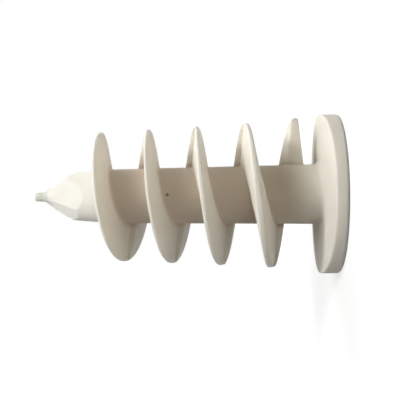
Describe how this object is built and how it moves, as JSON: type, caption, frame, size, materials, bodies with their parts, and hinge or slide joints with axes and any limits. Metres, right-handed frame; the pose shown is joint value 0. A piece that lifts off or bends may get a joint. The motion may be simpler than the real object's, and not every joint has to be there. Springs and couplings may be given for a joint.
{
  "type": "insulation anchor",
  "caption": "One-piece plastic insulation anchor: pointed hollow shank with a wide right-hand spiral flange, a round head and a hexagon drive socket.",
  "frame": {"origin": "centre of the head's flat outer face", "axes": "+Z along the shank from the head to the point; the mould's parting plane is y = 0, and the flange's two ends face along Y at +X"},
  "size_m": [0.0274, 0.0274, 0.0546],
  "materials": {
    "moulded_plastic": "satin"
  },
  "bodies": {
    "root": {"anchor": "moulded_plastic"}
  },
  "joints": []
}
